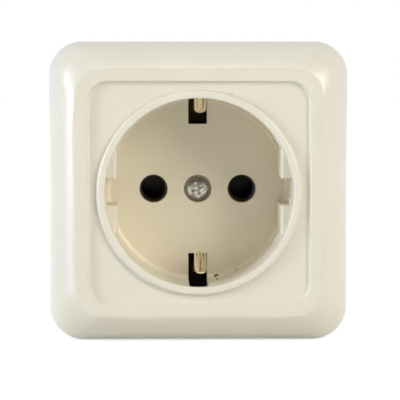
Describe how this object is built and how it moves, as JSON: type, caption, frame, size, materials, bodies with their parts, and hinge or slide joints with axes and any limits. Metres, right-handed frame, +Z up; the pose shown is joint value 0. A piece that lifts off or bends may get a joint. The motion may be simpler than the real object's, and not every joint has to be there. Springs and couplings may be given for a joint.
{
  "type": "type f wall socket",
  "caption": "Square surface-mounted wall socket with a round recessed plug well, side guide ledges, pin holes and bowed spring earth clips above and below.",
  "frame": {"origin": "centre of the back face, on the wall plane", "axes": "+Y into the wall, so the front faces -Y; +Z up; +X to the right seen from the front"},
  "size_m": [0.0628, 0.044, 0.0628],
  "materials": {
    "cream_thermoset": "cream thermoset moulding, satin, lightly dusty",
    "dark_phenolic": "brown-black phenolic moulding",
    "brass": "plain brass",
    "strap_brass": "pale worn brass strip",
    "spring_steel": "blued spring steel",
    "screw_steel": "aged zinc-plated steel"
  },
  "bodies": {
    "root": {"cover": "cream_thermoset", "cover_screw": "screw_steel", "base": "dark_phenolic", "earth_strap": "strap_brass", "threaded_pillar": "brass", "contact_left": "brass", "contact_right": "brass", "contact_spring_left": "spring_steel", "contact_spring_right": "spring_steel", "contact_rivet_left": "brass", "contact_rivet_right": "brass", "clamp_plate_left": "brass", "terminal_screw_left": "screw_steel", "terminal_nut_left": "brass", "clamp_plate_right": "brass", "terminal_screw_right": "screw_steel", "terminal_nut_right": "brass", "clamp_plate_earth": "brass", "terminal_screw_earth": "screw_steel", "terminal_nut_earth": "brass"}
  },
  "joints": []
}
